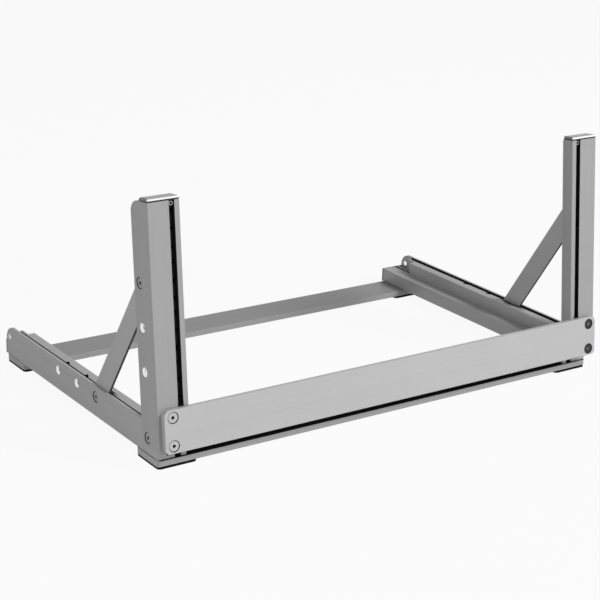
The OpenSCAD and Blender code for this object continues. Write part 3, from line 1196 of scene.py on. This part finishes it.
def thread_ridge(mesh, place, length, sizes):
    """Adds one inner thread to a mesh: a ridge that winds along local Z, with its root in the wall."""
    count = int(length / sizes.thread_pitch * THREAD_STEPS)
    half = sizes.thread_pitch * ROOT_SHARE
    root = sizes.thread_r + ROOT_SINK
    rings = []
    for i in range(count + 1):
        turn = 2 * math.pi * i / THREAD_STEPS
        rise = half + (length - 2 * half) * i / count
        fade = min(1.0, i / FADE_STEPS, (count - i) / FADE_STEPS)
        crest = sizes.thread_r - sizes.thread_depth * fade
        profile = ((root, -half), (crest, -half * CREST_SHARE), (crest, half * CREST_SHARE), (root, half))
        points = [Vector((r * math.cos(turn), r * math.sin(turn), rise + dz)) for r, dz in profile]
        rings.append([mesh.verts.new(place @ point) for point in points])
    for one, two in zip(rings, rings[1:]):
        corners = len(one)
        for k in range(corners):
            after = (k + 1) % corners
            mesh.faces.new((one[k], one[after], two[after], two[k]))
    mesh.faces.new(rings[0])
    mesh.faces.new(reversed(rings[-1]))


def thread_piece(name, places, length, material):
    """Makes one piece of all the threads at the places given."""
    mesh = bmesh.new()
    sizes = bpy.context.scene.stand_sizes
    for place in places:
        thread_ridge(mesh, place, length, sizes)
    bmesh.ops.recalc_face_normals(mesh, faces=mesh.faces)
    data = bpy.data.meshes.new(name)
    mesh.to_mesh(data)
    mesh.free()
    for face in data.polygons:
        face.use_smooth = True
    piece = bpy.data.objects.new(name, data)
    bpy.context.scene.collection.objects.link(piece)
    data.materials.append(material)
    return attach(piece, "root")


class STAND_OT_threads(bpy.types.Operator):
    """Cut the threads of the rack holes"""

    bl_idname = "stand.threads"
    bl_label = "Threads"

    def execute(self, context):
        sizes = context.scene.stand_sizes
        black = bpy.data.materials["strip_black"]
        length = LOW_HOLE["dims"]["length_mm"] * MM
        outwards = OUT_FRONT.to_track_quat("Z", "Y").to_matrix().to_4x4()
        ups = [
            unit * sizes.unit + hole * sizes.outer_step
            for unit in range(sizes.units)
            for hole in range(HOLES_IN_UNIT)
        ]
        for side, sign in zip(SIDES, (1, -1)):
            lowest = Vector(LOW_HOLE["pos_m"])
            lowest.x *= sign
            start = lowest - OUT_FRONT * length / 2
            places = [Matrix.Translation(start + UP_ALONG * up) @ outwards for up in ups]
            thread_piece(f"{side}_rack_threads", places, length, black)
        return {"FINISHED"}


class STAND_OT_stage(bpy.types.Operator):
    """Lay the floor, set the lights and place the camera"""

    bl_idname = "stand.stage"
    bl_label = "Stage"

    def execute(self, context):
        stage = context.scene.stand_stage
        self.floor(context, stage)
        self.world(context, stage)
        self.lamp(context, "front_light", stage.front_place, stage.front_width, stage.front_power)
        self.lamp(context, "side_light", stage.side_place, stage.side_width, stage.side_power)
        self.camera(context, stage)
        context.scene.view_settings.view_transform = "Standard"
        return {"FINISHED"}

    def seen(self, finish):
        """One where the camera, a reflection or a see-through piece looks at the background."""
        path = finish.add("ShaderNodeLightPath")
        camera, glossy, clear = (
            finish.out(path, name) for name in ("Is Camera Ray", "Is Glossy Ray", "Is Transmission Ray")
        )
        return camera | glossy | clear

    def floor(self, context, stage):
        """Lays a wide white floor that keeps the stand's shadow."""
        mesh = bmesh.new()
        bmesh.ops.create_circle(mesh, cap_ends=True, radius=FLOOR_R, segments=FLOOR_SIDES)
        data = bpy.data.meshes.new("floor")
        mesh.to_mesh(data)
        mesh.free()
        floor = bpy.data.objects.new("floor", data)
        context.scene.collection.objects.link(floor)
        finish = Finish(bpy.data.materials.new("floor_white"))
        lit = finish.out(finish.add("ShaderNodeBsdfDiffuse", None, {"Color": rgba(stage.floor)}))
        white = finish.out(finish.add("ShaderNodeEmission", None, {"Color": WHITE, "Strength": 1.0}))
        share = self.seen(finish) * stage.white
        mixed = finish.out(finish.add("ShaderNodeMixShader", None, {0: share, 1: lit, 2: white}))
        finish.add("ShaderNodeOutputMaterial", None, {"Surface": mixed})
        data.materials.append(finish.owner)

    def world(self, context, stage):
        """Makes the world white where it is seen, and a dim even light on the stand."""
        context.scene.world = bpy.data.worlds.new("studio")
        finish = Finish(context.scene.world)
        seen = self.seen(finish)
        strength = seen + (1 - seen) * stage.ambient
        sky = finish.out(finish.add("ShaderNodeBackground", None, {"Color": WHITE, "Strength": strength}))
        finish.add("ShaderNodeOutputWorld", None, {"Surface": sky})

    def lamp(self, context, name, place, width, power):
        """Hangs a round soft light that faces the stand and doesn't show itself."""
        light = bpy.data.lights.new(name, "AREA")
        light.shape = "DISK"
        light.size = width
        light.energy = power
        lamp = bpy.data.objects.new(name, light)
        lamp.location = place
        lamp.rotation_euler = (LIGHT_AIM - Vector(place)).to_track_quat("-Z", "Y").to_euler()
        lamp.visible_camera = False
        lamp.visible_glossy = False
        context.scene.collection.objects.link(lamp)

    def camera(self, context, stage):
        """Places the camera."""
        data = bpy.data.cameras.new("camera")
        data.lens = stage.lens
        data.sensor_width = SENSOR_MM
        data.clip_start = VIEW_NEAR
        data.clip_end = VIEW_FAR
        eye = bpy.data.objects.new("camera", data)
        context.scene.collection.objects.link(eye)
        look = (
            Matrix.Rotation(-stage.turn, 4, "Z")
            @ Matrix.Rotation(math.pi / 2 - stage.tip, 4, "X")
            @ Matrix.Rotation(stage.roll, 4, "Z")
        )
        eye.matrix_world = Matrix.Translation(stage.eye) @ look
        context.scene.camera = eye


OPERATORS = (
    STAND_OT_uprights,
    STAND_OT_legs,
    STAND_OT_braces,
    STAND_OT_panel,
    STAND_OT_crossbars,
    STAND_OT_caps,
    STAND_OT_feet,
    STAND_OT_screws,
    STAND_OT_strips,
    STAND_OT_threads,
    STAND_OT_stage,
)


class STAND_PT_looks(bpy.types.Panel):
    """Lists the pieces of the stand and its stage"""

    bl_idname = "STAND_PT_looks"
    bl_label = "Rack Stand"
    bl_space_type = "VIEW_3D"
    bl_region_type = "UI"
    bl_category = "Rack Stand"

    def draw(self, context):
        for operator in OPERATORS:
            self.layout.operator(operator.bl_idname)


GROUPS = {"stand_sizes": Sizes, "stand_finishes": Finishes, "stand_stage": Stage}
CLASSES = (*GROUPS.values(), *OPERATORS, STAND_PT_looks)


def register():
    for cls in CLASSES:
        bpy.utils.register_class(cls)
    for name, group in GROUPS.items():
        setattr(bpy.types.Scene, name, PointerProperty(type=group))


def unregister():
    for name in GROUPS:
        delattr(bpy.types.Scene, name)
    for cls in reversed(CLASSES):
        bpy.utils.unregister_class(cls)


def main():
    register()
    bpy.ops.stand.uprights()
    bpy.ops.stand.legs()
    bpy.ops.stand.braces()
    bpy.ops.stand.panel()
    bpy.ops.stand.crossbars()
    bpy.ops.stand.caps()
    bpy.ops.stand.feet()
    bpy.ops.stand.screws()
    bpy.ops.stand.strips()
    bpy.ops.stand.threads()
    bpy.ops.stand.stage()


if __name__ == "__main__":
    main()
